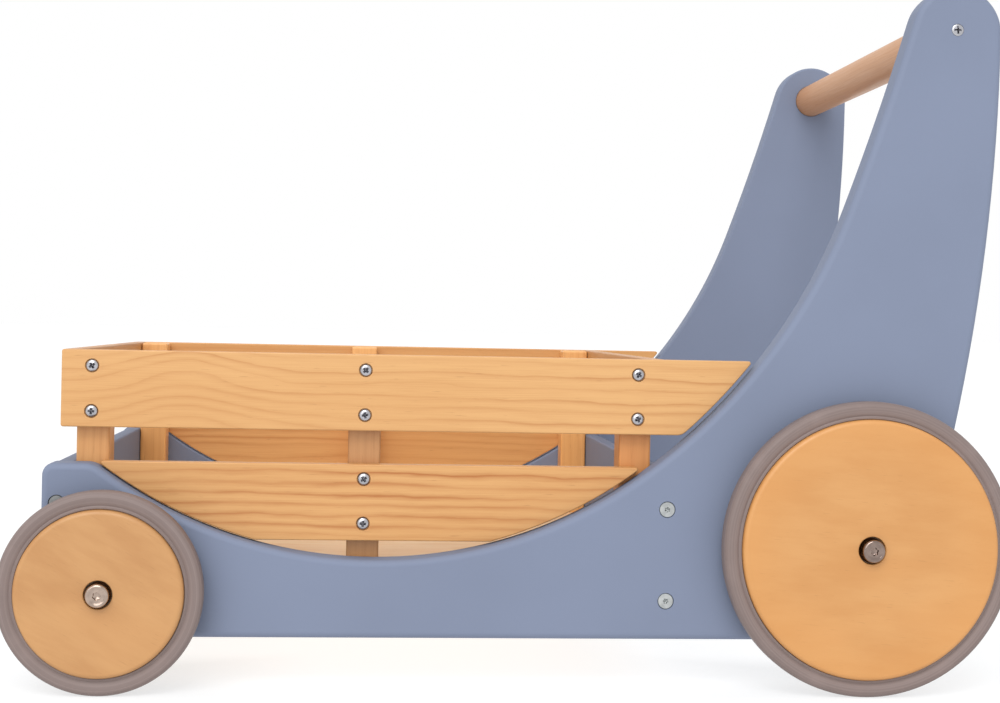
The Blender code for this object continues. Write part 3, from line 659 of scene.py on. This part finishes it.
def shaped(name, body, edge=0.0, cuts=()):
    """An object with eased edges and cut-outs, as one plain mesh."""
    item = to_object(name, body)
    if edge:
        bevel = item.modifiers.new("eased_edges", "BEVEL")
        bevel.width = edge
        bevel.segments = 3
        bevel.limit_method = "ANGLE"
        bevel.angle_limit = BEVEL_ANGLE
    tool = None
    if cuts:
        tool = to_object(name + "_cutter", joined(cuts))
        cut = item.modifiers.new("cuts", "BOOLEAN")
        cut.operation = "DIFFERENCE"
        cut.solver = "MANIFOLD"
        cut.object = tool
    bpy.context.view_layer.update()
    made = bpy.data.meshes.new_from_object(item.evaluated_get(bpy.context.evaluated_depsgraph_get()))
    item.modifiers.clear()
    item.data = made
    if tool:
        bpy.data.objects.remove(tool, do_unlink=True)
    return item


def finished(item, finish, body="chassis", stands_for=None):
    """Give a piece its material and shading, and let it ride on its body."""
    item.data.materials.clear()
    item.data.materials.append(finish)
    item.data.shade_smooth()
    item.data.set_sharp_from_angle(angle=SHARP_ANGLE)
    weighted = item.modifiers.new("even_shading", "WEIGHTED_NORMAL")
    weighted.keep_sharp = True
    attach(item, body)
    if stands_for:
        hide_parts(stands_for)


def round_ring(radius, height):
    """A ring of points about Y."""
    return [Vector((radius * math.cos(a), height, radius * math.sin(a))) for a in RING_ANGLES]


def cross_ring(reach, half_width, height):
    """A ring of points in the shape of a cross recess."""
    points = []
    for a in RING_ANGLES:
        c = max(abs(math.cos(a)), 1e-6)
        s = max(abs(math.sin(a)), 1e-6)
        radius = max(min(reach / c, half_width / s), min(reach / s, half_width / c))
        points.append(Vector((radius * math.cos(a), height, radius * math.sin(a))))
    return points


def star_ring(radius, depth, height):
    """A ring of points in the shape of a six-lobed recess."""
    points = []
    for a in RING_ANGLES:
        reach = radius * (1.0 - depth * (0.5 - 0.5 * math.cos(6.0 * a)))
        points.append(Vector((reach * math.cos(a), height, reach * math.sin(a))))
    return points


def set_out(body, where, side, spin):
    """Turn a fastener about its own axis, face it outwards on one side, and put it in place."""
    bmesh.ops.rotate(body, verts=body.verts, matrix=Matrix.Rotation(spin, 3, "Y"))
    bmesh.ops.rotate(body, verts=body.verts, matrix=Matrix.Rotation(FACES[side], 3, "Z"))
    bmesh.ops.translate(body, verts=body.verts, vec=where)
    return body


def pan_screw(where, side, spin):
    """A domed cross-head screw that stands in a shallow hole. Its place is on the wood's surface."""
    shank, head, seat, brim, dome = SLAT_SCREW_SHANK, SCREW_HEAD, -0.0012, -0.0004, 0.0017
    rings = [round_ring(SCREW_TIP, -0.016), round_ring(shank, -0.013), round_ring(shank, seat)]
    rings += [round_ring(head - 0.0002, seat), round_ring(head, -0.0010), round_ring(head, brim)]
    rings += [round_ring(head * math.cos(t), brim + dome * math.sin(t)) for t in (0.3, 0.55, 0.8, 0.95)]
    rings += [cross_ring(0.0020, 0.00075, 0.00105), cross_ring(0.0011, 0.0005, -0.0008)]
    rings += [cross_ring(0.0002, 0.0001, -0.0020)]
    return set_out(lofted(rings), where, side, spin)


def flat_screw(where, side, spin):
    """A countersunk cross-head screw, flush with the panel."""
    shank, head = HANDLE_SCREW_SHANK, SCREW_HEAD
    rings = [round_ring(SCREW_TIP, -0.034), round_ring(shank, -0.030), round_ring(shank, -0.0026)]
    rings += [round_ring(head, -0.0003), round_ring(head, 0.0), round_ring(head - 0.0004, 0.0003)]
    rings += [round_ring(head * 0.72, 0.00038), cross_ring(0.0024, 0.00062, 0.00040)]
    rings += [cross_ring(0.0006, 0.0002, -0.0026)]
    return set_out(lofted(rings), where, side, spin)


def flat_bolt(where, side, spin):
    """A low bolt head with a six-lobed recess, sunk in the panel."""
    shank, head, seat, top = BOLT_SHANK, BOLT_HEAD, -0.0016, -0.00025
    rings = [round_ring(shank, -0.046), round_ring(shank, seat), round_ring(head - 0.0001, seat)]
    rings += [round_ring(head, -0.0014), round_ring(head, -0.0007), round_ring(head - 0.0004, -0.00035)]
    rings += [round_ring(head * 0.55, top), star_ring(0.0018, 0.30, top)]
    rings += [star_ring(0.00165, 0.30, -0.0020), star_ring(0.0004, 0.20, -0.0026)]
    return set_out(lofted(rings), where, side, spin)


def cutter(where, side, profile, steps=SMALL_ROUND):
    """A round cutter with a profile of (radius, height) points, heights being outwards from a place on a face."""
    ends = [(0.0, profile[0][1]), (0.0, profile[-1][1])]
    return lathe([ends[0], *profile, ends[1]], steps, offset=where, face=FACES[side])


def round_hole(where, side, radius, low):
    """A cutter for a plain hole."""
    return cutter(where, side, [(radius, low), (radius, PROUD)])


def sunk_hole(where, side, radius, low, sink_radius, sink_depth):
    """A cutter for a hole with a flat sink for a head."""
    profile = [(radius, low), (radius, -sink_depth), (sink_radius, -sink_depth), (sink_radius, PROUD)]
    return cutter(where, side, profile)


def handle_hole(where, side):
    """A cutter for the handle bar's socket and the hole of its countersunk screw."""
    seat = HANDLE_SOCKET - (OUTER_Y - INNER_Y)
    socket = HANDLE_RADIUS + GAP
    profile = [(socket, PAST_PANEL), (socket, seat), (HANDLE_SCREW_HOLE, seat), (HANDLE_SCREW_HOLE, -0.0026),
               (HANDLE_SCREW_SINK, -0.0004), (HANDLE_SCREW_SINK, PROUD)]
    return cutter(where, side, profile, 64)


def make_panels(finish):
    """Side panels with holes for axles, bolts and the handle bar."""
    for name, side in SIDES.items():
        inside, outside = side * INNER_Y, side * OUTER_Y
        cuts = [round_hole((x, outside, z), name, AXLE_RADIUS + GAP, PAST_PANEL) for x, z in AXLES.values()]
        for x in BOLT_XS.values():
            for z in BOLT_ZS.values():
                cuts.append(sunk_hole((x, outside, z), name, BOLT_HOLE, PAST_PANEL, BOLT_SINK, BOLT_SINK_DEPTH))
        cuts.append(handle_hole((HANDLE[0], outside, HANDLE[1]), name))
        body = plate(panel_outline(), *sorted((inside, outside)))
        for y, edge in ((outside, PANEL_ROUND), (inside, PANEL_INNER_ROUND)):
            rim = [e for e in body.edges if all(abs(v.co.y - y) < 1e-6 for v in e.verts)]
            bmesh.ops.bevel(body, geom=rim, offset=edge, segments=5, profile=0.5, affect="EDGES")
        item = shaped(name + "_panel", body, cuts=cuts)
        finished(item, finish, stands_for=name + "_side_panel")


def make_slat(node, body, finish, places, side, spins, finish_screw):
    """One slat with its screws. The first screw's spin and the step from each to the next are given."""
    cuts = []
    for where in places:
        cuts.append(sunk_hole(where, side, SLAT_SCREW_HOLE, PAST_SLAT, SLAT_SCREW_SINK, SLAT_SCREW_SINK_DEPTH))
    item = shaped(node + "_board", body, SLAT_EDGE, cuts)
    finished(item, finish, stands_for=node)
    for i, where in enumerate(places):
        screw = to_object(f"{node}_screw_{i + 1}", pan_screw(where, side, spins[0] + spins[1] * i))
        finished(screw, finish_screw)


def make_side_slats(finishes):
    """Upper and lower slats, the near ones with a stronger figure."""
    for name, side in SIDES.items():
        face_y = side * (INNER_Y + SLAT_THICK)
        low, high = sorted((side * INNER_Y, face_y))
        upper = [(x, face_y, z) for x in POST_XS for z in UPPER_SCREWS]
        lower = [(POST_XS[1], face_y, z) for z in LOWER_SCREWS]
        arched = finishes["pine_arched" if name == "left" else "pine"]
        striped = finishes["pine_striped" if name == "left" else "pine"]
        for level, outline, places, finish in (("upper", upper_slat_outline(), upper, arched),
                                               ("lower", lower_slat_outline(name), lower, striped)):
            body = plate(outline, low, high)
            make_slat(f"{name}_{level}_slat", body, finish, places, name, (0.6, 0.9), finishes["steel"])


def make_end_slats(finish, finish_screw):
    """Front and rear slats, each with four screws."""
    for name in ("front", "rear"):
        node = name + "_end_slat"
        low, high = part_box(node)
        face_x = low.x if name == "front" else high.x
        places = [(face_x, y, z) for y in (-POST_Y, POST_Y) for z in END_SCREWS]
        body = plate(oblong(low, high), low.y, high.y)
        make_slat(node, body, finish, places, name, (0.3, 0.8), finish_screw)


def make_posts(finishes):
    """Square posts with eased edges. The near posts take darker tones, the middle one darkest, as painted shade
    under the slats; the far posts a lighter one, as painted light inside the crate.
    """
    for side in SIDES:
        for spot in ("front", "middle", "rear"):
            node = f"{side}_{spot}_post"
            low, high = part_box(node)
            item = shaped(node + "_wood", plate(oblong(low, high), low.y, high.y), POST_EDGE)
            finished(item, finishes[spot + "_post" if side == "left" else "far_posts_painted_light"], stands_for=node)


def make_boards(finish):
    """Cross boards with bolt holes in their ends and a groove for the floor."""
    floor_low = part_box("floor_board")[0].z
    groove_low, groove_high = floor_low - GAP, floor_low + TONGUE_THICK + GAP
    for name, x in BOLT_XS.items():
        node = name + "_cross_board"
        low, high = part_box(node)
        inner, outer = (high.x, low.x) if name == "front" else (low.x, high.x)
        outline = [(inner, high.z), (inner, low.z), (outer, low.z)]
        outline += rounded_corner(outline[-1], (outer, high.z), outline[0], BOARD_ROUND)
        groove = [(inner - GROOVE_DEPTH, groove_low), (inner + GROOVE_DEPTH, groove_low),
                  (inner + GROOVE_DEPTH, groove_high), (inner - GROOVE_DEPTH, groove_high)]
        cuts = [plate(groove, -OUTER_Y, OUTER_Y)]
        for side_name, side in SIDES.items():
            for z in BOLT_ZS.values():
                cuts.append(round_hole((x, side * OUTER_Y, z), side_name, BOLT_HOLE, PAST_BOLT))
        item = shaped(node + "_wood", plate(outline, low.y, high.y), BOARD_EDGE, cuts)
        finished(item, finish, stands_for=node)


def make_handle(finish, finish_screw):
    """The round handle bar and its two screws."""
    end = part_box("handle_bar")[1].y
    half = [(0.0, end), (HANDLE_RADIUS - HANDLE_EDGE, end), (HANDLE_RADIUS, end - HANDLE_EDGE)]
    profile = half + [(radius, -y) for radius, y in reversed(half)]
    item = to_object("handle_dowel", lathe(profile, ROUND, offset=(HANDLE[0], 0.0, HANDLE[1])))
    finished(item, finish, stands_for="handle_bar")
    for name, side in SIDES.items():
        where = (HANDLE[0], side * OUTER_Y, HANDLE[1])
        screw = to_object(name + "_handle_screw_head", flat_screw(where, name, 0.05))
        finished(screw, finish_screw, stands_for=name + "_handle_screw")


def make_bolts(finishes):
    """Bolts through the panels into the cross boards; the front ones in a darker zinc, as painted shade."""
    for name, side in SIDES.items():
        for end, x in BOLT_XS.items():
            for level, z in BOLT_ZS.items():
                node = f"{end}_{name}_{level}_bolt"
                item = to_object(node + "_head", flat_bolt((x, side * OUTER_Y, z), name, 0.4 + 9.0 * z))
                finished(item, finishes[end + "_zinc"], stands_for=node)


def disc_profile(radius, thick):
    """A wheel disc's section about its middle, with rounded rims and a recess in its outer face."""
    half = thick / 2
    wall = HUB_RECESS_RADIUS
    lip = wall + HUB_RECESS_LIP
    floor = half - HUB_RECESS_DEPTH
    rim = arc((radius - DISC_EDGE, DISC_EDGE - half), DISC_EDGE, -QUARTER, 0.0)
    rim += arc((radius - DISC_EDGE, half - DISC_EDGE), DISC_EDGE, 0.0, QUARTER)
    recess = [(lip + 0.002, half), (lip, half), (wall, half - HUB_RECESS_LIP), (wall, floor)]
    return [(DISC_BORE, -half), (DISC_BORE + 0.002, -half), *rim, *recess, (DISC_BORE, floor)]


def tyre_profile(radius, inside, half):
    """A tyre's section about its middle: a bulging face on each side, with a thin lip beside the disc."""
    tread = arc((radius - TYRE_SHOULDER, TYRE_SHOULDER - half), TYRE_SHOULDER, -QUARTER, 0.0)
    tread += arc((radius - TYRE_SHOULDER, half - TYRE_SHOULDER), TYRE_SHOULDER, 0.0, QUARTER)
    points = [(inside + out, depth - half) for out, depth in TYRE_FACE] + tread
    return points + [(inside + out, half - depth) for out, depth in reversed(TYRE_FACE)]


def axle_cap(name, side, x, z):
    """A plated cap on the axle's end, with a small recess in its face."""
    low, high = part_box(name + "_axle_cap")
    top = high.y - low.y
    foot = low.y if side == "right" else high.y
    flange = CAP_RADIUS + CAP_FLANGE
    rings = [round_ring(0.0050, 0.0), round_ring(flange, 0.0), round_ring(flange, 0.0009)]
    rings += [round_ring(CAP_RADIUS + 0.0002, 0.0012), round_ring(CAP_RADIUS, 0.0014)]
    for i in range(CROWN_STEPS + 1):
        t = QUARTER * i / CROWN_STEPS
        rings.append(round_ring(CAP_RADIUS - CAP_CROWN + CAP_CROWN * math.cos(t),
                                top - CAP_CROWN + CAP_CROWN * math.sin(t)))
    rings += [round_ring(0.0050, top - 0.0001), round_ring(0.0042, top - 0.0004)]
    rings += [round_ring(0.0033, top - 0.0004), star_ring(0.0026, 0.20, top - 0.0004)]
    rings += [star_ring(0.0023, 0.20, top - 0.0020), round_ring(0.0008, top - 0.0026)]
    return set_out(lofted(rings), (x, foot, z), side, 0.3)


def make_wheels(finishes):
    """Discs and tyres turn on their axles. Caps stay with the frame."""
    for name in WHEEL_NAMES:
        end, side = name.split("_")
        x, z = AXLES[end]
        low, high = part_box(name + "_wheel_disc")
        middle = (x, (low.y + high.y) / 2, z)
        radius = z - TYRE_DEPTH
        profile = disc_profile(radius, high.y - low.y)
        disc = to_object(name + "_disc", lathe(profile, ROUND, ring=True, face=FACES[side]))
        disc.location = middle
        finished(disc, finishes[end + "_disc"], name + "_wheel", name + "_wheel_disc")
        low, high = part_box(name + "_tyre")
        profile = tyre_profile(z, radius + DISC_GAP, (high.y - low.y) / 2 - TYRE_SLIM)
        tyre = to_object(name + "_rubber", lathe(profile, ROUND, ring=True))
        tyre.location = middle
        finished(tyre, finishes["rubber"], name + "_wheel", name + "_tyre")
        cap = to_object(name + "_cap", axle_cap(name, side, x, z))
        finished(cap, finishes[end + "_nickel"], stands_for=name + "_axle_cap")


def dress(node, finish):
    """Give one solid its material."""
    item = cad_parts[node]
    item.data.materials.clear()
    item.data.materials.append(finish)


def dress_solids(finishes):
    """Materials for the solids that stay as they are."""
    for node, finish in (("floor_board", "floor_ply"), ("front_axle", "steel"), ("rear_axle", "steel")):
        dress(node, finishes[finish])
    for name in WHEEL_NAMES:
        dress(name + "_spacer", finishes["nylon"])


def aimed(name, place, target, size, watts):
    """A soft area light that faces a target."""
    lamp = bpy.data.lights.new(name, "AREA")
    lamp.shape = "RECTANGLE"
    lamp.size, lamp.size_y = size
    lamp.energy = watts
    item = bpy.data.objects.new(name, lamp)
    bpy.context.scene.collection.objects.link(item)
    item.location = place
    item.rotation_euler = (Vector(target) - Vector(place)).to_track_quat("-Z", "Y").to_euler()


def make_stage():
    """Pale floor, white surroundings, soft lights and the camera."""
    scene = bpy.context.scene
    scene.view_settings.view_transform = "Standard"
    floor_body = bmesh.new()
    bmesh.ops.create_grid(floor_body, x_segments=4, y_segments=4, size=FLOOR_HALF)
    floor = to_object("studio_floor", floor_body)
    floor.data.materials.append(floor_finish())
    world = bpy.data.worlds.new("white_room")
    world.use_nodes = True
    world.node_tree.nodes["Background"].inputs["Color"].default_value = (1.0, 1.0, 1.0, 1.0)
    world.node_tree.nodes["Background"].inputs["Strength"].default_value = 1.0
    scene.world = world
    aimed("key", (-3.8, -8.15, 4.5), (0.0, 0.0, 0.15), (8.0, 6.0), 260.0)
    aimed("top", (-1.0, -3.8, 4.6), (-0.05, 0.0, 0.15), (3.6, 2.4), 135.0)
    lens = bpy.data.cameras.new("view")
    lens.sensor_width = 36.0
    lens.sensor_fit = "HORIZONTAL"
    lens.lens = CAMERA_LENS * lens.sensor_width
    lens.shift_x, lens.shift_y = CAMERA_SHIFT
    lens.clip_start = 0.01
    camera = bpy.data.objects.new("view", lens)
    scene.collection.objects.link(camera)
    about_x, about_y, about_z = (Matrix.Rotation(angle, 3, axis) for angle, axis in zip(CAMERA_TURNS, "XYZ"))
    right, forward, up = (about_y @ about_x @ about_z).col
    look = Matrix((right, up, -forward)).transposed()
    camera.matrix_world = Matrix.Translation(CAMERA_PLACE) @ look.to_4x4()
    scene.camera = camera


def main():
    """Dress the walker and set the stage."""
    finishes = make_finishes()
    make_panels(finishes["blue_paint"])
    make_side_slats(finishes)
    make_end_slats(finishes["pine_across"], finishes["steel"])
    make_posts(finishes)
    make_boards(finishes["blue_paint"])
    make_handle(finishes["beech"], finishes["steel"])
    make_bolts(finishes)
    make_wheels(finishes)
    dress_solids(finishes)
    make_stage()


main()
